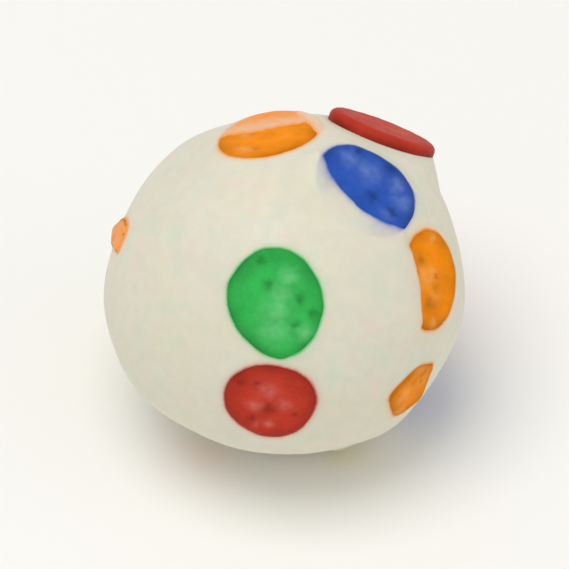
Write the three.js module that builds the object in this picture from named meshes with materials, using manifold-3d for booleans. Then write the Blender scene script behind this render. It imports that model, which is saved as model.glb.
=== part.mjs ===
// A cake batter candy bite: a hand-rolled ball of pale candy with confetti discs pressed into it.
// Millimetres and degrees, +Z up. The origin is the centre of the small flat that the ball rests on.

import * as THREE from "three";
import { mergeVertices } from "three/addons/utils/BufferGeometryUtils.js";
import Module from "manifold-3d";

// The ball
const BALL_RADIUS = 9.25; // where nothing has flattened it
const BALL_FINENESS = 15; // cuts along each edge of the icosahedron it starts from
const ROLL_SOFTNESS = 0.25; // how gently a flat runs out into the round
const REST_HEIGHT = 8.8; // from the floor up to the ball's centre
const REST_TRIM = 0.16; // taken off the lowest flat, so that it is truly level and wide enough
const REST_CLEARANCE = 3.8; // kept free of confetti round the middle of that flat

// The face is the side with most confetti. It looks forward, to -Y, and up.
const FACE_ELEVATION = 45;

// Where rolling has pressed the ball a little flat. Places on the ball are given by their polar angle
// from the middle of the face, and by their bearing round it, counterclockwise from the +X side.
const ROLLED_FLATS = [
  { bearing: 15, polar: 90, reach: 9.25 },
  { bearing: 60, polar: 88, reach: 9.12 },
  { bearing: 91, polar: 88, reach: 8.68 },
  { bearing: 106, polar: 90, reach: 8.68 },
  { bearing: 130, polar: 70, reach: 8.95 },
  { bearing: 132, polar: 88, reach: 8.95 },
  { bearing: 147, polar: 88, reach: 9 },
  { bearing: 160, polar: 88, reach: 9 },
  { bearing: 244, polar: 92, reach: 8.7 },
  { bearing: 263, polar: 92, reach: 8.6 },
  { bearing: 282, polar: 92, reach: 8.7 },
  { bearing: 325, polar: 86, reach: 9.12 },
  { bearing: 93, polar: 112, reach: 8.75 },
  { bearing: 238, polar: 110, reach: 8.7 },
  { bearing: 60, polar: 142, reach: 8.95 },
  { bearing: 185, polar: 128, reach: 8.95 },
  { bearing: 330, polar: 132, reach: 8.95 },
  { bearing: 270, polar: 90 + FACE_ELEVATION, reach: REST_HEIGHT + REST_TRIM },
];

// The confetti
const DISC_THICKNESS = 1.5;
const DISC_SIDES = 24;
const CHIP_SIDES = 5; // a chip is a broken piece of disc
const DISC_TAPER = 0.05; // how much slimmer a disc is at one end than in the middle, like an egg
const CHIP_TAPER = 0.4;
const EDGE_ROUNDING = 0.3;
const EDGE_STEPS = 2;
const CROWN = 0.1; // the middle of a piece stands this much over its rim
const CROWN_STEPS = 2;
const RIM_SAMPLES = 12; // places round a rim at which the height of the candy is taken

// How a piece usually sits: the height of its top over the round of the ball, how much of its rim
// stands out of its seat, and the width over which the candy slopes down from the seat.
const PROUD = 0.1;
const WALL = 0.2;
const SHOULDER = 1;
const SHOULDER_BEND = 1.2; // 1 is a straight slope, and above that it eases out

// Confetti on the face. turn swings a piece's long side from its course round the face, lift raises
// the far end of the long side, and roll raises the side towards the middle of the face. wallEnd and
// wallInner are what the wall gains at that end and on that side, and loses at the opposite ones.
const FACE_CONFETTI = [
  { bearing: 245, polar: 6.5, length: 5.7, width: 4.8, turn: 50 },
  { bearing: 263, polar: 40.8, length: 5, width: 4.7, turn: 90 },
  { bearing: 49.5, polar: 43.6, length: 5.7, width: 5, roll: -8, shoulder: 1.4 },
  {
    bearing: 57.6,
    polar: 86,
    length: 5.6,
    width: 5.4,
    lift: -11,
    roll: -4.5,
    proud: 0.72,
    wall: 0.62,
    wallEnd: 0.1,
    wallInner: 0.04,
    shoulder: 2.6,
  },
  { bearing: 96, polar: 59.8, length: 5.8, width: 4.8, turn: -45, lift: 2.5, roll: 2.5 },
  { bearing: 2, polar: 53.5, length: 5.2, width: 4.1, roll: -8, shoulder: 1.4 },
  { bearing: 321, polar: 65.5, length: 3.9, width: 3.5, sides: CHIP_SIDES },
  { bearing: 163, polar: 77, length: 3.8, width: 2.1, turn: 90, sides: CHIP_SIDES },
];

// Confetti on the far side: discs spread along a spiral, then chips along a closer one. A spot whose
// piece would reach the face or come nearer than the gap to another piece stays bare.
const FAR_CONFETTI = [
  { spots: 56, lengths: [4.7, 5.7], slimness: [0.84, 0.98], gap: 1.1, sides: DISC_SIDES },
  { spots: 72, lengths: [2, 3.6], slimness: [0.7, 0.95], gap: 0.9, sides: CHIP_SIDES },
];
const SPIRAL_TURN = 137.508;
const FACE_EDGE = 99; // polar angle of the last of the face
const SPOT_JITTER = 9;
const MOST_LEAN = 5;
const SPREAD_SEED = 397;

// The random draw: each number is worked out from the last.
const DRAW_FACTOR = 1664525;
const DRAW_STEP = 1013904223;
const DRAW_RANGE = 2 ** 32;

const NEAR_PIECE = 0.5; // cosine of the angle within which a piece can shape the candy
const MERGE_DISTANCE = 1e-4;

const radians = THREE.MathUtils.degToRad;
const degrees = THREE.MathUtils.radToDeg;
const faceAxis = new THREE.Vector3(0, -Math.cos(radians(FACE_ELEVATION)), Math.sin(radians(FACE_ELEVATION)));
const faceRight = new THREE.Vector3(1, 0, 0);
const faceUp = faceAxis.clone().cross(faceRight);

// The direction from the ball's centre to a place on its surface.
function directionTo(bearing, polar) {
  const outwards = Math.sin(radians(polar));
  return faceAxis
    .clone()
    .multiplyScalar(Math.cos(radians(polar)))
    .addScaledVector(faceRight, outwards * Math.cos(radians(bearing)))
    .addScaledVector(faceUp, outwards * Math.sin(radians(bearing)));
}

const flats = ROLLED_FLATS.map(({ bearing, polar, reach }) => {
  return { normal: directionTo(bearing, polar), reach };
});

// The rolled ball alone: a soft minimum of its sphere and its flats.
function rolledRadius(direction) {
  let sum = 1;
  for (const { normal, reach } of flats) {
    const slant = direction.dot(normal);
    if (slant > 0) {
      sum += Math.exp((BALL_RADIUS - reach / slant) / ROLL_SOFTNESS);
    }
  }
  return BALL_RADIUS - ROLL_SOFTNESS * Math.log(sum);
}

// The height over the ball's centre, along a piece's own axis, of the candy round its rim.
function rimHeight(out, along, across, length, width) {
  let total = 0;
  for (let i = 0; i < RIM_SAMPLES; i++) {
    const angle = (2 * Math.PI * i) / RIM_SAMPLES;
    const direction = out
      .clone()
      .multiplyScalar(BALL_RADIUS)
      .addScaledVector(along, (length / 2) * Math.cos(angle))
      .addScaledVector(across, (width / 2) * Math.sin(angle))
      .normalize();
    total += rolledRadius(direction) * direction.dot(out);
  }
  return total / RIM_SAMPLES;
}

// A piece of confetti with its own axes, laid level with the candy round it and then leaned.
function seated({ bearing, polar, turn = 0, lift = 0, roll = 0, ...piece }) {
  const { length, width, sides = DISC_SIDES, proud = PROUD, shoulder = SHOULDER } = piece;
  const { wall = WALL, wallEnd = 0, wallInner = 0 } = piece;
  const out = directionTo(bearing, polar);
  const round = directionTo(bearing + 90, 90);
  const along = round.clone().applyAxisAngle(out, radians(-turn));
  const across = out.clone().cross(along);
  const middle = out.clone().multiplyScalar(rimHeight(out, along, across, length, width) + proud);
  const lean = new THREE.Quaternion()
    .setFromAxisAngle(across, radians(-lift))
    .multiply(new THREE.Quaternion().setFromAxisAngle(along, radians(roll)));
  for (const axis of [out, along, across]) {
    axis.applyQuaternion(lean);
  }
  const taper = sides === CHIP_SIDES ? CHIP_TAPER : DISC_TAPER;
  const seat = { wall, wallEnd, wallInner, shoulder };
  return { out, along, across, middle, length, width, sides, taper, seat };
}

// The same draws every time, from 0 up to 1.
function makeDraw(seed) {
  let state = seed;
  return () => {
    state = (state * DRAW_FACTOR + DRAW_STEP) % DRAW_RANGE;
    return state / DRAW_RANGE;
  };
}

function spreadConfetti(placed) {
  const draw = makeDraw(SPREAD_SEED);
  const between = (low, high) => low + (high - low) * draw();
  const down = new THREE.Vector3(0, 0, -1);
  const spread = [...placed];
  for (const { spots, lengths, slimness, gap, sides } of FAR_CONFETTI) {
    for (let spot = 0; spot < spots; spot++) {
      const level = 1 - (2 * spot + 1) / spots;
      const polar = degrees(Math.acos(level)) + between(-SPOT_JITTER, SPOT_JITTER);
      const bearing = spot * SPIRAL_TURN + between(-SPOT_JITTER, SPOT_JITTER);
      const length = between(...lengths);
      const width = length * between(...slimness);
      const turn = between(0, 180);
      const lift = between(-MOST_LEAN, MOST_LEAN);
      if (polar - degrees(length / 2 / BALL_RADIUS) < FACE_EDGE) {
        continue;
      }
      const piece = seated({ bearing, polar, length, width, turn, lift, sides });
      const gapTo = (other) => BALL_RADIUS * piece.out.angleTo(other.out) - (length + other.length) / 2;
      const clearOfRest = BALL_RADIUS * piece.out.angleTo(down) - length / 2 > REST_CLEARANCE;
      if (clearOfRest && spread.every((other) => gapTo(other) > gap)) {
        spread.push(piece);
      }
    }
  }
  return spread;
}

// The rolled ball, shaped into a level seat under each piece. Beyond the rim, the seat's height over
// the ball's centre is that at the rim.
function surfaceRadius(direction, confetti) {
  let radius = rolledRadius(direction);
  for (const { out, along, across, middle, length, width, taper, seat } of confetti) {
    const slant = direction.dot(out);
    if (slant < NEAR_PIECE) {
      continue;
    }
    const topRadius = middle.dot(out) / slant;
    const offset = direction.clone().multiplyScalar(topRadius).sub(middle);
    const farAlong = (2 * offset.dot(along)) / length;
    const slimmed = 1 - taper * THREE.MathUtils.clamp(farAlong, -1, 1);
    const farAcross = (2 * offset.dot(across)) / width / slimmed;
    const far = Math.hypot(farAlong, farAcross);
    const beyondRim = ((far - 1) * Math.sqrt(length * width)) / 2;
    const lean = (seat.wallEnd * farAlong + seat.wallInner * farAcross) / Math.max(far, 1);
    const level = offset.divideScalar(Math.max(far, 1)).add(middle).length() - seat.wall - lean;
    const share = THREE.MathUtils.clamp(1 - beyondRim / seat.shoulder, 0, 1) ** SHOULDER_BEND;
    radius = THREE.MathUtils.lerp(radius, level, share);
  }
  return radius;
}

function ballGeometry(confetti) {
  const geometry = new THREE.IcosahedronGeometry(1, BALL_FINENESS);
  const position = geometry.attributes.position;
  const direction = new THREE.Vector3();
  for (let i = 0; i < position.count; i++) {
    direction.fromBufferAttribute(position, i).normalize();
    direction.multiplyScalar(surfaceRadius(direction, confetti));
    position.setXYZ(i, ...direction);
  }
  return geometry;
}

// A sugar disc or chip: crowned on top, rounded at its rim, its underside out of sight in the candy.
function confettiGeometry({ out, along, across, middle, length, width, sides, taper }) {
  const rim = Math.sqrt(length * width) / 2;
  const level = rim - EDGE_ROUNDING;
  const profile = [new THREE.Vector2(0, -DISC_THICKNESS), new THREE.Vector2(level, -DISC_THICKNESS)];
  for (let step = 0; step <= EDGE_STEPS; step++) {
    const angle = (Math.PI / 2) * (step / EDGE_STEPS);
    const reach = level + EDGE_ROUNDING * Math.cos(angle);
    const height = EDGE_ROUNDING * (Math.sin(angle) - 1);
    profile.push(new THREE.Vector2(reach, height));
  }
  for (let step = CROWN_STEPS - 1; step >= 0; step--) {
    const share = step / CROWN_STEPS;
    profile.push(new THREE.Vector2(level * share, CROWN * (1 - share * share)));
  }
  const geometry = new THREE.LatheGeometry(profile, sides).rotateX(Math.PI / 2);
  const position = geometry.attributes.position;
  for (let i = 0; i < position.count; i++) {
    position.setY(i, position.getY(i) * (1 - (taper * position.getX(i)) / rim));
  }
  const placed = new THREE.Matrix4().makeBasis(along, across, out).setPosition(middle);
  return geometry.scale(length / 2 / rim, width / 2 / rim, 1).applyMatrix4(placed);
}

function floorGeometry() {
  const size = 4 * BALL_RADIUS;
  return new THREE.BoxGeometry(size, size, size).translate(0, 0, -REST_HEIGHT - size / 2);
}

const wasm = await Module();
wasm.setup();

function solidOf(geometry) {
  geometry.deleteAttribute("normal");
  geometry.deleteAttribute("uv");
  const merged = mergeVertices(geometry, MERGE_DISTANCE);
  const corners = merged.index.array;
  const triangles = [];
  for (let i = 0; i < corners.length; i += 3) {
    const [a, b, c] = corners.slice(i, i + 3);
    if (a !== b && b !== c && c !== a) {
      triangles.push(a, b, c);
    }
  }
  return new wasm.Manifold(
    new wasm.Mesh({
      numProp: 3,
      vertProperties: merged.attributes.position.array,
      triVerts: new Uint32Array(triangles),
    }),
  );
}

function geometryOf(solid) {
  const { vertProperties, triVerts } = solid.getMesh();
  const geometry = new THREE.BufferGeometry();
  geometry.setAttribute("position", new THREE.BufferAttribute(vertProperties, 3));
  geometry.setIndex(new THREE.BufferAttribute(triVerts, 1));
  geometry.computeVertexNormals();
  return geometry;
}

function candyBite() {
  const confetti = spreadConfetti(FACE_CONFETTI.map(seated));
  let solid = solidOf(ballGeometry(confetti));
  for (const piece of confetti) {
    solid = solid.add(solidOf(confettiGeometry(piece)));
  }
  solid = solid.subtract(solidOf(floorGeometry()));
  const candy = new THREE.MeshStandardMaterial({ color: 0xe6e2cb, roughness: 0.55, metalness: 0 });
  const mesh = new THREE.Mesh(geometryOf(solid), candy);
  mesh.name = "candy_bite";
  mesh.position.z = REST_HEIGHT;
  return mesh;
}

const bite = new THREE.Group();
bite.add(candyBite());

export default bite;
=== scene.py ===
# A cake batter candy bite: a ball of pale candy rolled by hand, with confetti pressed into it.
# Shapes are worked out in millimetres and degrees, and become metres where a mesh is made.

import itertools
import math
from dataclasses import dataclass

import bpy
import numpy as np
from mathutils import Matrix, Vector, noise


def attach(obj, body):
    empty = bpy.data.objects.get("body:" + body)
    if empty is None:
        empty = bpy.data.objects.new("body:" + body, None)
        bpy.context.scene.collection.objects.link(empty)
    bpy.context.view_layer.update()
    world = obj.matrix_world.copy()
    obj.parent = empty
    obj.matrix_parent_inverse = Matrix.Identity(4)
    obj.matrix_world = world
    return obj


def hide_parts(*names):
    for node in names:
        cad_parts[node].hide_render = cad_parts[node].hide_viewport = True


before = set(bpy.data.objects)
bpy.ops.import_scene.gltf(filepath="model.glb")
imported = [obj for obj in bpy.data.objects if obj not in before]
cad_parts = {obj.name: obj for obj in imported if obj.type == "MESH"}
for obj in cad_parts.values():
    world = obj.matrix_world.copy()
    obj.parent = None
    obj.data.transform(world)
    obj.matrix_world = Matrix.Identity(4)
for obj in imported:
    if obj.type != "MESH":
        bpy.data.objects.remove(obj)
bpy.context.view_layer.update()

MILLIMETRE = 0.001  # metres

# The ball
BALL_RADIUS = 9.25
BALL_CUTS = 99  # along each edge of the icosahedron it starts from
ROLL_SOFTNESS = 0.25  # how gently a flat runs out into the round
REST_HEIGHT = 8.8  # from the floor up to the ball's centre
REST_TRIM = 0.16  # taken off the lowest flat, so that it is truly level and wide enough
REST_CLEARANCE = 3.8  # kept free of confetti round the middle of that flat

# The face is the side with most confetti. It looks forward, to -Y, and up.
FACE_ELEVATION = 45
FACE_SLOPE = math.radians(FACE_ELEVATION)
FACE_AXIS = np.array([0, -math.cos(FACE_SLOPE), math.sin(FACE_SLOPE)])
FACE_RIGHT = np.array([1.0, 0, 0])
FACE_UP = np.cross(FACE_AXIS, FACE_RIGHT)

# Where rolling has pressed the ball a little flat: bearing, polar angle and reach. The polar angle is
# from the middle of the face, and the bearing is round it, counterclockwise from the +X side.
ROLLED_FLATS = [
    (15, 90, 9.25),
    (60, 88, 9.12),
    (91, 88, 8.68),
    (106, 90, 8.68),
    (130, 70, 8.95),
    (132, 88, 8.95),
    (147, 88, 9),
    (160, 88, 9),
    (244, 92, 8.7),
    (263, 92, 8.6),
    (282, 92, 8.7),
    (325, 86, 9.12),
    (93, 112, 8.75),
    (238, 110, 8.7),
    (60, 142, 8.95),
    (185, 128, 8.95),
    (330, 132, 8.95),
    (270, 90 + FACE_ELEVATION, REST_HEIGHT + REST_TRIM),
]

# The confetti
DISC_THICKNESS = 1.5
DISC_SIDES = 24
CHIP_SIDES = 5
DISC_TAPER = 0.05  # how much slimmer a disc is at one end than in the middle
CHIP_TAPER = 0.4
EDGE_ROUNDING = 0.3
ROUNDING_STEPS = 7
WALL_STEPS = 6
DISC_STEPS_AROUND = 240
CHIP_STEPS_AROUND = 144
DISC_RINGS = 54
CHIP_RINGS = 28
CROWN = 0.1  # the middle of a piece stands this much over its rim
RIM_SAMPLES = 12  # places round a rim at which the height of the candy is taken
PROUD = 0.1  # how far a piece stands over the candy round it
WALL = 0.2  # a piece with a deeper wall than this has the candy round it as much lower
SHOULDER = 1  # how wide the slope of candy round a piece is
SHOULDER_BEND = 1.2  # 1 is a straight slope, and above that it eases out

# A low ring near the rim of a top, and a dimple in its middle. Place and widths are shares of the way
# out to the rim.
RING_PLACE = 0.82
RING_WIDTH = 0.1
RING_HEIGHT = 0.035
DIMPLE_WIDTH = 0.4
DIMPLE_DEPTH = 0.04

# How far a piece's outline is from a true disc or pentagon
RIM_WAVES = ((2, 0.012), (3, 0.012), (4, 0.012), (7, 0.006), (13, 0.004))  # waves round it, and depth
LEAST_WAVE = 0.5
MOST_WAVE = 1.2
CHIP_SPREAD = 0.06
CHIP_CORNER = 7  # the higher, the sharper a chip's corners

# Pits, darkened with painted shade, and flecks of painted sheen: those that a piece isn't given are
# drawn
SPOTS = 5  # of each kind on each piece
SPOT_REACH = 0.6  # the part of a top's area that they are spread over
MOST_STRETCH = 1.8
LEAST_STRENGTH = 0.4
PIT_SIZES = (0.14, 0.36)
PIT_DEPTH = 0.035
SHEEN_FLECK_SIZES = (0.12, 0.5)
FLECK_HEIGHT = 0.012
MARKS_SEED = 100

# Confetti on the face. turn swings a piece's long side from its course round the face, lift raises
# the far end of the long side, and roll raises the side towards the middle of the face. wall_end and
# wall_inner are what the wall gains at that end and on that side, and loses at the opposite ones.
# Over some of it the ball's round runs on as a lap of candy, or the candy is a thin veil. Each comes
# from one side of the piece and ends at a bowed border so far from the middle. A lap's least is its
# least thickness, and its rise is the width of its thin edge. A veil can fade, to thin out again over
# so far. Pits, darkened with painted shade, and pale flecks of painted sheen have a place right of
# and above the ball's middle, as the face shows, and a width.
FACE_CONFETTI = [
    dict(
        colour="green",
        bearing=245,
        polar=6.5,
        length=5.7,
        width=4.8,
        turn=50,
        pits=[(-0.8, 0, 0.5), (0.75, -0.75, 0.5), (0.55, -2, 0.5), (1.45, -1.4, 0.6), (-1.2, 1.2, 0.5)],
        sheen_flecks=[(0.2, 0.4, 0.9), (-0.2, -0.5, 1), (-0.4, -1.3, 1.4), (-0.5, -2.2, 1.4), (1, -2.4, 0.8)],
    ),
    dict(
        colour="red",
        bearing=263,
        polar=40.8,
        length=5,
        width=4.7,
        turn=90,
        pits=[
            (-1.6, -6.7, 0.5),
            (0.5, -6.5, 0.4),
            (-0.8, -6.2, 0.7),
            (-2.2, -4.9, 0.5),
            (-1.4, -5, 0.4),
        ],
        sheen_flecks=[(-0.8, -5.3, 0.9), (0, -6, 0.7), (-1.5, -6, 0.7), (-0.8, -6.9, 0.5)],
    ),
    dict(
        colour="blue",
        bearing=49.5,
        polar=43.6,
        length=5.7,
        width=5,
        roll=-8,
        shoulder=1.4,
        laps=[dict(side=88, border=1.06, bow=-0.13, least=0.15, rise=0.5)],
        pits=[(3.7, 6.7, 0.5), (5.3, 5.8, 0.6), (4.4, 4.4, 0.7), (5.3, 3.6, 0.6)],
        sheen_flecks=[(5.6, 4.9, 0.9), (5.9, 4.1, 1), (4.2, 5.6, 1.2), (3.2, 6.3, 0.9)],
    ),
    dict(
        colour="red",
        bearing=57.6,
        polar=86,
        length=5.6,
        width=5.4,
        lift=-11,
        roll=-4.5,
        proud=0.72,
        wall=0.62,
        wall_end=0.1,
        wall_inner=0.04,
        shoulder=2.6,
    ),
    dict(
        colour="orange",
        bearing=96,
        polar=59.8,
        length=5.8,
        width=4.8,
        turn=-45,
        lift=2.5,
        roll=2.5,
        veils=[
            dict(side=232, border=0.3, bow=0.02, thickness=0.1, fade=1),
            dict(side=155, border=1.9, bow=0.08, thickness=0.11),
        ],
        sheen_flecks=[(-2, 6.7, 0.8)],
    ),
    dict(
        colour="orange",
        bearing=2,
        polar=53.5,
        length=5.2,
        width=4.1,
        roll=-8,
        shoulder=1.4,
        laps=[dict(side=100, border=0.85, bow=0.05, least=0.18)],
        pits=[(6.8, 1.2, 0.6), (7.3, -1, 0.8), (7.6, 0.4, 0.4)],
        sheen_flecks=[(6.9, 0.4, 1.1), (7.3, 0.5, 0.8), (7.4, 2.3, 0.5), (7.4, -2, 0.6)],
    ),
    dict(colour="orange", bearing=321, polar=65.5, length=3.9, width=3.5, sides=CHIP_SIDES),
    dict(
        colour="orange",
        bearing=163,
        polar=77,
        length=3.8,
        width=2.1,
        turn=90,
        sides=CHIP_SIDES,
        veils=[dict(side=0, border=-2, bow=0, thickness=0.02)],
    ),
]

# Confetti on the far side: discs spread along a spiral, then chips along a closer one. A spot whose
# piece would reach the face or come nearer than the gap to another piece stays bare.
FAR_CONFETTI = [
    dict(spots=56, lengths=(4.7, 5.7), slimness=(0.84, 0.98), gap=1.1, sides=DISC_SIDES),
    dict(spots=72, lengths=(2, 3.6), slimness=(0.7, 0.95), gap=0.9, sides=CHIP_SIDES),
]
FAR_COLOURS = ("yellow", "blue", "orange", "green", "red", "orange")
SPIRAL_TURN = 137.508
FACE_EDGE = 99  # polar angle of the last of the face
SPOT_JITTER = 9
MOST_LEAN = 5
LAPPED_LEAN = 2.5  # candy laps over the low end of a piece that leans this much
LAP_PLACE = 0.25  # how far from the piece's middle that lap ends, as a share of its length
LAP_BOW = -0.1
LAP_LEAST = 0.1

# The random draw: each number is worked out from the last
SPREAD_SEED = 397
DRAW_FACTOR = 1664525
DRAW_STEP = 1013904223
DRAW_RANGE = 2**32

# How candy meets a piece
NEAR_PIECE = 0.5  # cosine of the angle within which a piece can shape the candy
PIECE_MARGIN = 1.5  # so far past its shoulder a piece no longer changes the candy
RIM_LAP = 0.05  # the candy covers the outermost part of a top
RIM_DROP = 0.1  # and lies this much lower than the top just outside
RIM_BLEND = 0.1  # so far outside the rim the candy is all shoulder
SEAT_SLOPE = 0.9  # under a piece the candy falls away so steeply
SEAT_DEPTH = 0.45  # and so deep
EDGE_RISE = 0.22  # a lap or veil reaches its thickness over about this width
NO_LAP = -9.0  # so far outside a lap's border that there is none
LAPPED_FROM = -0.2  # between these places the candy round the rim rises to meet a lap
LAPPED_TO = 0.6
LAP_RAGGEDNESS = 0.09
VEIL_RAGGEDNESS = 0.18
LIP_HEIGHT = 0.04
LIP_PLACE = 0.3
LIP_WIDTH = 0.18
HIDING = 0.09  # candy this thick hides most of the colour under it
TINT_FROM = -0.1  # between these places the halo takes over from the colour that shows through
TINT_TO = 0.05
HALO = 0.4
HALO_REACH = 0.25
HALO_HIDDEN = 0.8  # the share of it that a lap hides
RIM_SHADE_REACH = 0.4  # painted shade: the sugar is darkened so far in from where it meets the candy
RIM_SHADE_DARKNESS = 0.8
DENTS_AT_PIECES = 0.35  # the share of the dents of rolling that is left where confetti holds the candy
DENTS_RETURN = 1.2

# Unevenness: how high, how wide and with which pattern
BROAD_DENTS = (0.06, 4.2, 1)
SMALL_DENTS = (0.02, 1.9, 2)
PIECE_TOP = (0.025, 1.5, 3)
BORDER_WAVES = (1, 0.9, 4)
BORDER_RIPPLES = (0.4, 0.3, 5)
CANDY_PORES = (0.006, 0.7, 6)
COARSE_GRAIN = (0.012, 0.42, 7)
FINE_GRAIN = (0.007, 0.17, 8)
SPOT_WARP_ALONG = (0.16, 0.35, 9)
SPOT_WARP_ACROSS = (0.16, 0.35, 10)
RIM_SHADE_CHANGE = (0.6, 1.3, 11)
PATTERN_SHIFT = 7.31
BORDER_SHIFT = 5.0
PIECE_SHIFT = 3  # from piece to piece, so that no two have the same grain

# Colours as a screen shows them
CANDY = (224, 221, 203)
CANDY_WARM = (226, 219, 191)
CANDY_COOL = (217, 219, 203)
CANDY_ROSY = (233, 214, 198)
CANDY_GREENISH = (211, 222, 197)
CONFETTI = {
    "orange": (254, 146, 3),
    "red": (202, 60, 41),
    "green": (56, 187, 86),
    "blue": (46, 88, 184),
    "yellow": (246, 224, 88),
}
WHITE = 255
TABLE = (250, 249, 246)
TABLE_SHADE = (247, 246, 242)

CANDY_ROUGHNESS = 0.46
SUGAR_ROUGHNESS = 0.46
BLUE_ROUGHNESS = 0.36

# The studio, in metres, and the camera's lens, in millimetres
TABLE_HALF = 1.5
SKY_STRENGTH = 0.6
CAMERA_DISTANCE = 0.45
FOCAL_LENGTH = 560
SENSOR_WIDTH = 36
NEAREST_SHOWN = 0.05
FARTHEST_SHOWN = 10

# Colour left in the candy by confetti that has worn away: colour, bearing, polar angle, width, strength
STAINS = [
    ("blue", 82, 27, 1.3, 0.1),
    ("red", 118, 24, 0.8, 0.06),
    ("orange", 350, 30, 1.1, 0.05),
    ("blue", 205, 62, 1.6, 0.07),
    ("orange", 60, 118, 1.4, 0.3),
    ("green", 150, 122, 1.2, 0.18),
    ("blue", 235, 150, 1.3, 0.2),
    ("red", 300, 118, 1, 0.14),
    ("yellow", 0, 150, 1.4, 0.3),
    ("orange", 154, 76, 0.7, 0.2),
    ("orange", 171, 77, 0.7, 0.12),
]


def linear(colour):
    """A screen's colour, 0 to 255, as the share of light it sends back by the sRGB rule."""
    shares = np.array(colour) / 255
    return np.where(shares <= 0.04045, shares / 12.92, ((shares + 0.055) / 1.055) ** 2.4)


def smoothstep(value, low, high):
    share = np.clip((value - low) / (high - low), 0, 1)
    return share * share * (3 - 2 * share)


def mixed(first, second, share):
    return first + (second - first) * share


def bell(value, width):
    """1 at nothing, and less and less on either side."""
    return np.exp(-((value / width) ** 2))


def fading(distance, reach):
    """1 up to nothing, and less and less with distance."""
    return np.exp(-np.maximum(distance, 0) / reach)


def turned(vector, axis, angle):
    """A vector turned about an axis by so many degrees."""
    angle = math.radians(angle)
    upright = axis * (axis @ vector) * (1 - math.cos(angle))
    return vector * math.cos(angle) + np.cross(axis, vector) * math.sin(angle) + upright


def direction_to(bearing, polar):
    """The direction from the ball's centre to a place on its surface."""
    bearing = math.radians(bearing)
    polar = math.radians(polar)
    around = FACE_RIGHT * math.cos(bearing) + FACE_UP * math.sin(bearing)
    return FACE_AXIS * math.cos(polar) + around * math.sin(polar)


def uneven(places, height, width, pattern):
    """Smooth bumps and hollows about so high and so wide. Each pattern number has its own."""
    moved = places / width + PATTERN_SHIFT * pattern
    return height * np.array([noise.noise(place) for place in moved.tolist()])


def rolled_radius(directions):
    """The rolled ball alone: a soft minimum of its sphere and its flats."""
    total = np.ones(len(directions))
    for bearing, polar, reach in ROLLED_FLATS:
        slant = directions @ direction_to(bearing, polar)
        facing = slant > 0
        total[facing] += np.exp((BALL_RADIUS - reach / slant[facing]) / ROLL_SOFTNESS)
    return BALL_RADIUS - ROLL_SOFTNESS * np.log(total)


@dataclass
class Piece:
    """A disc or chip of confetti, with its own axes and the middle of its top."""

    colour: str
    out: np.ndarray
    along: np.ndarray
    across: np.ndarray
    middle: np.ndarray
    length: float
    width: float
    sides: int
    walls: tuple
    shoulder: float
    laps: list
    veils: list
    pits: list
    sheen_flecks: list
    number: int = 0

    @property
    def taper(self):
        return CHIP_TAPER if self.sides == CHIP_SIDES else DISC_TAPER

    @property
    def radius(self):
        return math.sqrt(self.length * self.width) / 2

    def rim(self, angle):
        """How far out the rim is at each angle, where that of a plain disc has 1."""
        draw = np.random.default_rng(self.number)
        if self.sides == CHIP_SIDES:
            faces = [math.radians(360 / CHIP_SIDES * (side + 0.5) - 90) for side in range(CHIP_SIDES)]
            spread = draw.uniform(1 - CHIP_SPREAD, 1 + CHIP_SPREAD, CHIP_SIDES)
            reaches = math.cos(math.pi / CHIP_SIDES) * spread
            slants = []
            for face, face_reach in zip(faces, reaches):
                slants.append(np.maximum(np.cos(angle - face), 0) / face_reach)
            reach = np.sum(np.array(slants) ** CHIP_CORNER, axis=0) ** (-1 / CHIP_CORNER)
        else:
            reach = np.ones_like(angle)
        for waves, depth in RIM_WAVES:
            start, size = draw.uniform(0, 2 * math.pi), draw.uniform(LEAST_WAVE, MOST_WAVE)
            reach = reach * (1 + size * depth * np.cos(waves * angle - start))
        return reach

    def plane_place(self, x, y):
        """A place on the piece's plane in millimetres, from its shares of half the length and width."""
        slimmed = 1 - self.taper * np.clip(x, -1, 1)
        return x * self.length / 2, y * slimmed * self.width / 2

    def seen_place(self, right, up):
        """The place on the piece's plane that shows so far right of and above the ball's middle."""
        aside = FACE_RIGHT * right + FACE_UP * up
        depth = (self.middle - aside) @ self.out / (FACE_AXIS @ self.out)
        offset = aside + FACE_AXIS * depth - self.middle
        return offset @ self.along, offset @ self.across

    def shares(self, directions):
        """Where the lines along these directions meet the piece's plane."""
        reach = self.middle @ self.out / (directions @ self.out)
        offset = directions * reach[:, None] - self.middle
        x = 2 * (offset @ self.along) / self.length
        slimmed = 1 - self.taper * np.clip(x, -1, 1)
        y = 2 * (offset @ self.across) / self.width / slimmed
        return reach, x, y

    def top(self, x, y):
        """The height of the top over the piece's plane, apart from its fine grain."""
        a, b = self.plane_place(x, y)
        places = np.column_stack([a, b, np.full_like(a, self.number)])
        share = np.clip(np.hypot(x, y) / self.rim(np.arctan2(y, x)), 0, 1)
        ring = RING_HEIGHT * bell(share - RING_PLACE, RING_WIDTH)
        dimple = DIMPLE_DEPTH * bell(share, DIMPLE_WIDTH)
        return CROWN * (1 - share**2) + ring - dimple + uneven(places, *PIECE_TOP)

    def within(self, films, a, b):
        """For each lap or veil, how far inside it a place lies."""
        places = np.column_stack([a, b, np.full_like(a, BORDER_SHIFT + self.number)])
        ragged = uneven(places, *BORDER_WAVES) + uneven(places, *BORDER_RIPPLES)
        for film in films:
            side = math.radians(film["side"])
            far = a * math.cos(side) + b * math.sin(side)
            beside = b * math.cos(side) - a * math.sin(side)
            raggedness = LAP_RAGGEDNESS if "least" in film else VEIL_RAGGEDNESS
            yield film, far - film["border"] - film["bow"] * beside**2 + raggedness * ragged


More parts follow.
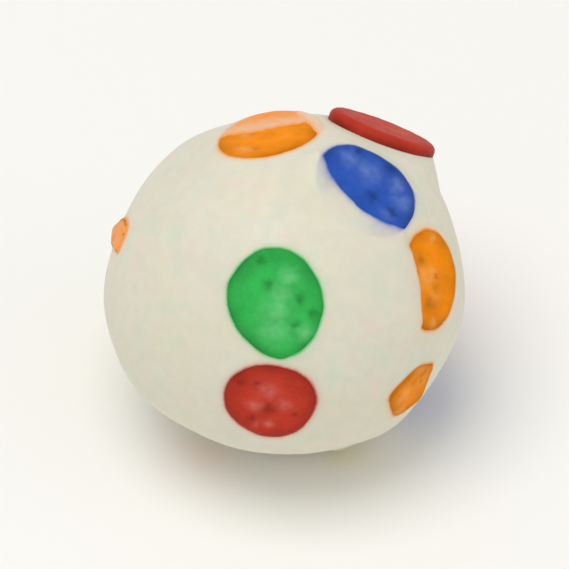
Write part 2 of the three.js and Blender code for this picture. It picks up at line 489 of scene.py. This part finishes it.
def rim_height(out, along, across, length, width):
    """The height over the ball's centre, along a piece's own axis, of the candy round its rim."""
    angles = 2 * math.pi * np.arange(RIM_SAMPLES) / RIM_SAMPLES
    places = out * BALL_RADIUS + np.outer(np.cos(angles), along * length / 2)
    places += np.outer(np.sin(angles), across * width / 2)
    directions = places / np.linalg.norm(places, axis=1, keepdims=True)
    return np.mean(rolled_radius(directions) * (directions @ out))


def seated(colour, bearing, polar, length, width, **given):
    """A piece of confetti laid level with the candy round it and then leaned."""
    out = direction_to(bearing, polar)
    along = turned(direction_to(bearing + 90, 90), out, -given.get("turn", 0))
    across = np.cross(out, along)
    middle = out * (rim_height(out, along, across, length, width) + given.get("proud", PROUD))
    lean = [turned(axis, along, given.get("roll", 0)) for axis in (out, along, across)]
    out, along, across = [turned(axis, across, -given.get("lift", 0)) for axis in lean]
    sides = given.get("sides", DISC_SIDES)
    walls = (given.get("wall", WALL), given.get("wall_end", 0), given.get("wall_inner", 0))
    shoulder = given.get("shoulder", SHOULDER)
    own = [list(given.get(kind, [])) for kind in ("laps", "veils", "pits", "sheen_flecks")]
    return Piece(colour, out, along, across, middle, length, width, sides, walls, shoulder, *own)


def make_draw(seed):
    """The same draws every time, from 0 up to 1."""
    state = seed
    while True:
        state = (state * DRAW_FACTOR + DRAW_STEP) % DRAW_RANGE
        yield state / DRAW_RANGE


def spread_confetti(placed):
    """Fills the far side, leaving bare each spot whose piece would come too near to another."""
    draws = make_draw(SPREAD_SEED)

    def between(low, high):
        return low + (high - low) * next(draws)

    def arc(first, second):
        return BALL_RADIUS * math.acos(np.clip(first @ second, -1, 1))

    down = np.array([0, 0, -1.0])
    pieces = list(placed)
    for kind in FAR_CONFETTI:
        for spot in range(kind["spots"]):
            level = 1 - (2 * spot + 1) / kind["spots"]
            polar = math.degrees(math.acos(level)) + between(-SPOT_JITTER, SPOT_JITTER)
            bearing = spot * SPIRAL_TURN + between(-SPOT_JITTER, SPOT_JITTER)
            length = between(*kind["lengths"])
            width = length * between(*kind["slimness"])
            turn = between(0, 180)
            lift = between(-MOST_LEAN, MOST_LEAN)
            if polar - math.degrees(length / 2 / BALL_RADIUS) < FACE_EDGE:
                continue
            colour = FAR_COLOURS[(len(pieces) - len(placed)) % len(FAR_COLOURS)]
            given = dict(turn=turn, lift=lift, sides=kind["sides"])
            piece = seated(colour, bearing, polar, length, width, **given)
            gaps = [arc(piece.out, other.out) - (length + other.length) / 2 for other in pieces]
            if arc(piece.out, down) - length / 2 > REST_CLEARANCE and min(gaps) > kind["gap"]:
                pieces.append(piece)
                if abs(lift) > LAPPED_LEAN:
                    low_end = 180 if lift > 0 else 0
                    border = LAP_PLACE * length
                    piece.laps.append(dict(side=low_end, border=border, bow=LAP_BOW, least=LAP_LEAST))
    return pieces


def risen(inside, rise=EDGE_RISE):
    """The share of its thickness that a lap or veil has so far inside its border."""
    return 1 - fading(inside, rise)


def candy_over(piece, ball, reach, x, y):
    """How far the candy reaches over and round a piece, and how much of the piece's colour it shows."""
    a, b = piece.plane_place(x, y)
    far = np.hypot(x, y) / piece.rim(np.arctan2(y, x))
    beyond = (far - 1) * piece.radius

    # Over the top, where nothing covers it the candy lies under it, as its seat
    veil = np.zeros_like(a)
    cover = beyond + RIM_LAP
    for film, inside in piece.within(piece.veils, a, b):
        thickness = film["thickness"] * risen(inside) * fading(inside, film.get("fade", math.inf))
        veil = np.maximum(veil, thickness)
        cover = np.maximum(cover, inside)
    lap = np.full_like(a, NO_LAP)
    least, rise = 0, EDGE_RISE
    for film, inside in piece.within(piece.laps, a, b):
        lap = np.maximum(lap, inside)
        least, rise = film["least"], film.get("rise", EDGE_RISE)
    cover = np.maximum(cover, lap)
    seat = np.maximum(cover * SEAT_SLOPE, -SEAT_DEPTH)
    top = reach + piece.top(x, y)
    over = np.where(cover < 0, seat, mixed(veil, np.maximum(ball - top, least), risen(lap, rise)))

    # Round the rim it rises or falls to the ball's own round, with a lip, or runs on where it laps
    lapped = smoothstep(lap, LAPPED_FROM, LAPPED_TO)
    wall, wall_end, wall_inner = piece.walls
    lean = (wall_end * x + wall_inner * y) / np.maximum(far, 1)
    drop = wall + lean - WALL + RIM_DROP
    lip = LIP_HEIGHT * bell(beyond - LIP_PLACE, LIP_WIDTH)
    held = 1 / np.maximum(far, 1)
    rim = piece.middle + np.outer(a * held, piece.along) + np.outer(b * held, piece.across)
    level = np.linalg.norm(rim, axis=1)
    shore = mixed(level - drop + lip, np.maximum(level + least, ball), lapped)
    left = np.clip(1 - beyond / piece.shoulder, 0, 1) ** (SHOULDER_BEND + lapped)
    outside = mixed(ball, shore, left)
    radius = mixed(top + over, outside, smoothstep(beyond, -EDGE_ROUNDING, RIM_BLEND))

    # The sugar's colour shows through thin candy, and stains a halo round it
    through = fading(np.where(cover < 0, 0, over), HIDING)
    halo = HALO * fading(beyond, HALO_REACH) * (1 - HALO_HIDDEN * lapped)
    return beyond, radius, mixed(through, halo, smoothstep(beyond, TINT_FROM, TINT_TO))


def ball_mesh():
    """The directions of a fine geodesic ball's corners, and its triangles."""
    edge_length = 2  # of the icosahedron whose corners are given here
    golden = (1 + math.sqrt(5)) / 2
    corners = []
    for turn, one, two in itertools.product(range(3), (-1, 1), (-golden, golden)):
        corners.append(np.roll((0, one, two), turn))
    points, triangles = [], []
    for three in itertools.combinations(corners, 3):
        first, second, third = three
        edges = (first - second, second - third, third - first)
        if not all(math.isclose(np.linalg.norm(edge), edge_length) for edge in edges):
            continue
        if np.linalg.det(three) < 0:
            second, third = third, second
        start = len(points)
        row_starts = []
        for row in range(BALL_CUTS + 1):
            row_starts.append(len(points))
            for place in range(BALL_CUTS + 1 - row):
                points.append(first * (BALL_CUTS - row - place) + second * place + third * row)
        for row in range(BALL_CUTS):
            low, high = row_starts[row], row_starts[row + 1]
            for place in range(BALL_CUTS - row):
                triangles.append((low + place, low + place + 1, high + place))
                if place + 1 < BALL_CUTS - row:
                    triangles.append((low + place + 1, high + place + 1, high + place))
    directions = np.array(points)
    directions /= np.linalg.norm(directions, axis=1, keepdims=True)
    alike = np.round(directions, decimals=6)
    _, kept, numbers = np.unique(alike, axis=0, return_index=True, return_inverse=True)
    return directions[kept], numbers.ravel()[np.array(triangles)]


def candy_shape(directions, pieces):
    """How far the candy reaches in each direction, and the colour that it takes from the confetti."""
    radius = rolled_radius(directions)
    colours = np.tile([*linear(CANDY), 0.0], (len(directions), 1))
    bare = np.ones(len(directions))
    for piece in pieces:
        near = np.flatnonzero(directions @ piece.out > NEAR_PIECE)
        reach, x, y = piece.shares(directions[near])
        close = np.hypot(x, y) * piece.radius < piece.radius + piece.shoulder + PIECE_MARGIN
        near, reach, x, y = near[close], reach[close], x[close], y[close]
        beyond, radius[near], tint = candy_over(piece, radius[near], reach, x, y)
        stronger = tint > colours[near, 3]
        tinted = near[stronger]
        colours[tinted, :3] = linear(CONFETTI[piece.colour])
        colours[tinted, 3] = tint[stronger]
        bare[near] = np.minimum(bare[near], smoothstep(beyond, 0, DENTS_RETURN))
    places = directions * BALL_RADIUS
    dents = uneven(places, *BROAD_DENTS) + uneven(places, *SMALL_DENTS)
    radius += dents * mixed(DENTS_AT_PIECES, 1, bare) + uneven(places, *CANDY_PORES)
    for colour, bearing, polar, width, strength in STAINS:
        apart = BALL_RADIUS * np.arccos(np.clip(directions @ direction_to(bearing, polar), -1, 1))
        tint = strength * bell(apart, width)
        stronger = tint > colours[:, 3]
        colours[stronger, :3] = linear(CONFETTI[colour])
        colours[stronger, 3] = tint[stronger]
    return radius, colours


def spots(piece, own, sizes, draw):
    """Each pit or fleck of a piece: its place, size, stretch and strength. What it lacks is drawn."""
    for right, up, width in own:
        yield *piece.seen_place(right, up), width / 2, 1, 1
    for spot in range(SPOTS - len(own)):
        angle, size = draw.uniform(0, 2 * math.pi), draw.uniform(*sizes)
        far = math.sqrt(draw.uniform(0, SPOT_REACH)) / 2
        a, b = far * piece.length * math.cos(angle), far * piece.width * math.sin(angle)
        yield a, b, size, draw.uniform(1, MOST_STRETCH), draw.uniform(LEAST_STRENGTH, 1)


def pits_and_sheen_flecks(piece, a, b, places):
    """How strong a piece's pits, darkened with painted shade, and its pale flecks of painted sheen are
    at each corner.
    """
    draw = np.random.default_rng(MARKS_SEED + piece.number)
    warped_a = a + uneven(places, *SPOT_WARP_ALONG)
    warped_b = b + uneven(places, *SPOT_WARP_ACROSS)
    for own, sizes in ((piece.pits, PIT_SIZES), (piece.sheen_flecks, SHEEN_FLECK_SIZES)):
        marks = np.zeros(len(a))
        for spot_a, spot_b, size, stretch, strength in spots(piece, own, sizes, draw):
            apart = np.hypot(warped_a - spot_a, (warped_b - spot_b) * stretch)
            marks = np.maximum(marks, strength * bell(apart, size))
        yield marks


def piece_rings(piece, top_rings):
    """For each ring of corners, its share of the way out to the rim and its height over the top."""
    level = 1 - EDGE_ROUNDING / piece.radius
    rings = [(level * (ring + 1) / top_rings, 0.0) for ring in range(top_rings)]
    for step in range(1, ROUNDING_STEPS + 1):
        angle = math.pi / 2 * step / ROUNDING_STEPS
        inset = EDGE_ROUNDING * (1 - math.sin(angle))
        rings.append((1 - inset / piece.radius, EDGE_ROUNDING * (math.cos(angle) - 1)))
    for step in range(1, WALL_STEPS + 1):
        rings.append((1, -EDGE_ROUNDING - (DISC_THICKNESS - EDGE_ROUNDING) * step / WALL_STEPS))
    return rings


def ring_faces(rings, around):
    """Faces between a first corner, rings of corners round it and a last corner that closes them."""
    last_ring = 1 + (rings - 1) * around
    faces = []
    for place in range(around):
        following = (place + 1) % around
        faces.append((0, 1 + place, 1 + following))
        for ring in range(rings - 1):
            inner, outer = 1 + ring * around, 1 + (ring + 1) * around
            faces.append((inner + place, outer + place, outer + following, inner + following))
        faces.append((last_ring + place, last_ring + around, last_ring + following))
    return faces


def confetti_shape(piece):
    """A fine closed mesh of one disc or chip, with the painted shade of its rim and pits and the
    painted sheen of its flecks marked.
    """
    chip = piece.sides == CHIP_SIDES
    around = CHIP_STEPS_AROUND if chip else DISC_STEPS_AROUND
    rings = piece_rings(piece, CHIP_RINGS if chip else DISC_RINGS)
    angles = 2 * math.pi * np.arange(around) / around
    reach = piece.rim(angles)
    shares = np.array([share for share, drop in rings])[:, None]
    x = np.concatenate([[0], (shares * reach * np.cos(angles)).ravel(), [0]])
    y = np.concatenate([[0], (shares * reach * np.sin(angles)).ravel(), [0]])
    drops = np.concatenate([[0], np.repeat([drop for share, drop in rings], around), [-DISC_THICKNESS]])
    a, b = piece.plane_place(x, y)
    places = np.column_stack([a, b, drops + PIECE_SHIFT * piece.number])
    pits, sheen_flecks = pits_and_sheen_flecks(piece, a, b, places)
    grain = uneven(places, *COARSE_GRAIN) + uneven(places, *FINE_GRAIN)
    height = piece.top(x, y) + drops + grain - PIT_DEPTH * pits + FLECK_HEIGHT * sheen_flecks
    height[-1] = -DISC_THICKNESS
    out = np.outer(height, piece.out)
    points = piece.middle + np.outer(a, piece.along) + np.outer(b, piece.across) + out
    beyond = (np.hypot(x, y) / piece.rim(np.arctan2(y, x)) - 1) * piece.radius
    # Painted shade: the sugar is darker towards where it meets the candy, over the edge of the top and
    # down the wall.
    crease = piece.walls[0] - WALL + RIM_DROP
    rim = fading(np.hypot(np.minimum(beyond, 0), drops + crease), RIM_SHADE_REACH)
    rim *= np.clip(RIM_SHADE_DARKNESS + uneven(places, *RIM_SHADE_CHANGE), 0, 1)
    marks = np.column_stack([rim, pits, sheen_flecks, np.ones(len(a))])
    return points, ring_faces(len(rings), around), marks


def show(name, points, faces, marks, finish):
    """Makes a piece of the bite from points in millimetres round the ball's centre."""
    mesh = bpy.data.meshes.new(name)
    lifted = points + np.array([0, 0, REST_HEIGHT])
    mesh.from_pydata((lifted * MILLIMETRE).tolist(), [], faces)
    layer = mesh.color_attributes.new("marks", "FLOAT_COLOR", "POINT")
    layer.data.foreach_set("color", marks.astype(np.float32).ravel())
    mesh.shade_smooth()
    mesh.materials.append(finish)
    piece = bpy.data.objects.new(name, mesh)
    bpy.context.collection.objects.link(piece)
    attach(piece, "root")
    return piece


class Tone:
    """A socket of a material, so that sums on it read as plain sums."""

    def __init__(self, finish, socket):
        self.finish = finish
        self.socket = socket

    def __add__(self, other):
        return self.finish.sum("ADD", self, other)

    def __sub__(self, other):
        return self.finish.sum("SUBTRACT", self, other)

    def __rsub__(self, other):
        return self.finish.sum("SUBTRACT", other, self)

    def __mul__(self, other):
        return self.finish.sum("MULTIPLY", self, other)

    __radd__ = __add__
    __rmul__ = __mul__


class Finish:
    """A material and the nodes it is made of. Widths are in millimetres."""

    def __init__(self, name):
        self.material = bpy.data.materials.new(name)
        self.material.use_nodes = True
        self.tree = self.material.node_tree
        self.tree.nodes.clear()

    def node(self, kind, settings, sockets):
        made = self.tree.nodes.new(kind)
        for name, value in settings.items():
            setattr(made, name, value)
        inputs = {socket.identifier: socket for socket in made.inputs}
        for name, value in sockets.items():
            if isinstance(value, Tone):
                self.tree.links.new(value.socket, inputs[name])
            else:
                inputs[name].default_value = value
        return {socket.identifier: Tone(self, socket) for socket in made.outputs}

    def sum(self, operation, first, second):
        sockets = {"Value": first, "Value_001": second}
        return self.node("ShaderNodeMath", {"operation": operation}, sockets)["Value"]

    def step(self, value, low, high):
        sockets = {"Value": value, "From Min": low, "From Max": high}
        return self.node("ShaderNodeMapRange", {"interpolation_type": "SMOOTHSTEP"}, sockets)["Result"]

    def blend(self, first, second, share):
        sockets = {"A_Color": first, "B_Color": second, "Factor_Float": share}
        return self.node("ShaderNodeMix", {"data_type": "RGBA"}, sockets)["Result_Color"]

    def layered(self, colour, layers):
        """A colour with others over it, each with the share of it that shows."""
        for over, share in layers:
            colour = self.blend(colour, over, share)
        return colour

    def place(self):
        return self.node("ShaderNodeTexCoord", {}, {})["Object"]

    def noise(self, place, width, detail=2):
        sockets = {"Vector": place, "Scale": 1 / (width * MILLIMETRE), "Detail": detail}
        return self.node("ShaderNodeTexNoise", {}, sockets)["Fac"]

    def marks(self):
        """What is kept at each corner: a piece's painted shade at its rim and in its pits and painted
        sheen on its flecks, or the colour in the candy.
        """
        return self.node("ShaderNodeAttribute", {"attribute_name": "marks"}, {})

    def bump(self, height, distance):
        sockets = {"Height": height, "Distance": distance * MILLIMETRE, "Strength": 1}
        return self.node("ShaderNodeBump", {}, sockets)["Normal"]

    def surface(self, sockets):
        shader = self.node("ShaderNodeBsdfPrincipled", {}, sockets)["BSDF"]
        self.node("ShaderNodeOutputMaterial", {}, {"Surface": shader})
        return self.material


def opaque(colour, strength=1):
    """A screen colour for a socket, made lighter or darker."""
    return (*np.clip(linear(colour) * strength, 0, 1), 1)


def candy_finish():
    """Waxy and faintly clouded ivory, with the colour of confetti showing where the candy is thin."""
    finish = Finish("ivory candy")
    place = finish.place()
    warm = finish.step(finish.noise(place, width=3.5, detail=3), low=0.35, high=0.7)
    cool = finish.step(finish.noise(place, width=1.6), low=0.5, high=0.75)
    tinge = finish.noise(place, width=1.3, detail=3)
    rosy = finish.step(tinge, low=0.5, high=0.75)
    greenish = finish.step(1 - tinge, low=0.52, high=0.75)
    shade = finish.step(finish.noise(place, width=0.7, detail=3), low=0.35, high=0.7)
    grains = finish.step(finish.noise(place, width=0.16), low=0.62, high=0.78)
    marks = finish.marks()
    stain = marks["Alpha"] * (0.75 + 0.5 * finish.noise(place, width=0.4))
    layers = (
        (opaque(CANDY_WARM), warm * 0.55),
        (opaque(CANDY_COOL), cool * 0.35),
        (opaque(CANDY_ROSY), rosy * 0.6),
        (opaque(CANDY_GREENISH), greenish * 0.6),
        (opaque(CANDY, strength=0.9), shade * 0.35),
        (opaque(CANDY, strength=1.12), grains * 0.25),
        (marks["Color"], finish.step(stain, low=0, high=1)),
    )
    coarse = finish.noise(place, width=0.55, detail=3)
    fine = finish.noise(place, width=0.09)
    return finish.surface(
        {
            "Base Color": finish.layered(opaque(CANDY), layers),
            "Roughness": CANDY_ROUGHNESS + 0.16 * finish.noise(place, width=0.8),
            "Specular IOR Level": 0.4,
            "Subsurface Weight": 0.35,
            "Subsurface Radius": (1, 0.72, 0.4),
            "Subsurface Scale": 0.7 * MILLIMETRE,
            "Normal": finish.bump(coarse * 0.7 + fine * 0.3, distance=0.02),
        }
    )


def sugar_finish(colour, roughness):
    """Pressed sugar: fine grained, with painted shade darkening it at the rim and in its pits, and pale
    flecks of painted sheen.
    """
    finish = Finish(colour + " sugar")
    place = finish.place()
    base = CONFETTI[colour]
    pale = [mixed(own, WHITE, 0.45) for own in base]
    marks = finish.marks()
    parts = finish.node("ShaderNodeSeparateColor", {}, {"Color": marks["Color"]})
    rim, pits, sheen_flecks = parts["Red"], parts["Green"], parts["Blue"]
    cloud = finish.step(finish.noise(place, width=0.9, detail=3), low=0.35, high=0.7)
    grain = finish.step(finish.noise(place, width=0.14), low=0.55, high=0.75)
    painted_sheen = sheen_flecks * finish.noise(place, width=0.5, detail=3)
    layers = (
        (opaque(base, strength=0.75), cloud * 0.6),
        (opaque(base, strength=1.35), grain * 0.3),
        # painted shade where the sugar meets the candy
        (opaque(base, strength=0.22), rim * 0.85),
        # painted shade in the pits
        (opaque(base, strength=0.4), pits * 0.75),
        # painted sheen: the flecks are whitened
        (opaque(pale), painted_sheen * 0.65),
    )
    coarse = finish.noise(place, width=0.22, detail=3)
    fine = finish.noise(place, width=0.07)
    return finish.surface(
        {
            "Base Color": finish.layered(opaque(base), layers),
            "Roughness": roughness + 0.15 * finish.noise(place, width=0.5),
            "Specular IOR Level": 0.08,
            "Subsurface Weight": 0.12,
            "Subsurface Radius": (1, 1, 1),
            "Subsurface Scale": 0.15 * MILLIMETRE,
            "Normal": finish.bump(coarse * 0.6 + fine * 0.4, distance=0.025),
        }
    )


def make_candy(pieces):
    directions, triangles = ball_mesh()
    radius, colours = candy_shape(directions, pieces)
    points = directions * radius[:, None]
    points[:, 2] = np.maximum(points[:, 2], -REST_HEIGHT)
    candy = show("candy_ball", points, triangles.tolist(), colours, candy_finish())
    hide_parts("candy_bite")


def make_confetti(pieces):
    """All the confetti of one colour is one piece of the scene."""
    for colour in CONFETTI:
        points, faces, marks = [], [], []
        for piece in pieces:
            if piece.colour == colour:
                own_points, own_faces, own_marks = confetti_shape(piece)
                start = sum(len(some) for some in points)
                faces += [tuple(start + corner for corner in face) for face in own_faces]
                points.append(own_points)
                marks.append(own_marks)
        name = "confetti_" + colour
        finish = sugar_finish(colour, BLUE_ROUGHNESS if colour == "blue" else SUGAR_ROUGHNESS)
        confetti = show(name, np.concatenate(points), faces, np.concatenate(marks), finish)


def make_floor():
    """A plain pale table top."""
    half = TABLE_HALF
    corners = [(-half, -half, 0), (half, -half, 0), (half, half, 0), (-half, half, 0)]
    mesh = bpy.data.meshes.new("floor")
    mesh.from_pydata(corners, [], [(0, 1, 2, 3)])
    finish = Finish("white table")
    shade = finish.noise(finish.place(), width=40)
    colour = finish.blend(opaque(TABLE), opaque(TABLE_SHADE), shade)
    mesh.materials.append(finish.surface({"Base Color": colour, "Roughness": 0.7}))
    floor = bpy.data.objects.new("floor", mesh)
    bpy.context.collection.objects.link(floor)


def aim(thing, place, target):
    thing.location = place
    thing.rotation_euler = (Vector(target) - Vector(place)).to_track_quat("-Z", "Y").to_euler()


def make_light(name, place, size, power, colour):
    lamp = bpy.data.lights.new(name, "AREA")
    lamp.shape = "DISK"
    lamp.size = size
    lamp.energy = power
    lamp.color = colour
    light = bpy.data.objects.new(name, lamp)
    bpy.context.collection.objects.link(light)
    aim(light, place, (0, 0, REST_HEIGHT * MILLIMETRE))


def make_studio():
    world = bpy.data.worlds.new("studio")
    world.use_nodes = True
    background = world.node_tree.nodes["Background"]
    background.inputs["Color"].default_value = (1, 1, 1, 1)
    background.inputs["Strength"].default_value = SKY_STRENGTH
    bpy.context.scene.world = world
    make_light("overhead", (-0.08, -0.08, 0.42), size=0.3, power=0.85, colour=(1, 0.995, 0.98))
    make_light("right fill", (0.4, -0.1, 0.2), size=0.3, power=0.15, colour=(1, 0.99, 0.97))
    bpy.context.scene.view_settings.view_transform = "Standard"


def make_camera():
    lens = bpy.data.cameras.new("camera")
    lens.lens = FOCAL_LENGTH
    lens.sensor_width = SENSOR_WIDTH
    camera = bpy.data.objects.new("camera", lens)
    bpy.context.collection.objects.link(camera)
    target = np.array([0, 0, REST_HEIGHT * MILLIMETRE])
    aim(camera, tuple(target + FACE_AXIS * CAMERA_DISTANCE), tuple(target))
    lens.clip_start = NEAREST_SHOWN
    lens.clip_end = FARTHEST_SHOWN
    bpy.context.scene.camera = camera


confetti = spread_confetti([seated(**given) for given in FACE_CONFETTI])
for number, piece in enumerate(confetti):
    piece.number = number
make_candy(confetti)
make_confetti(confetti)
make_floor()
make_studio()
make_camera()
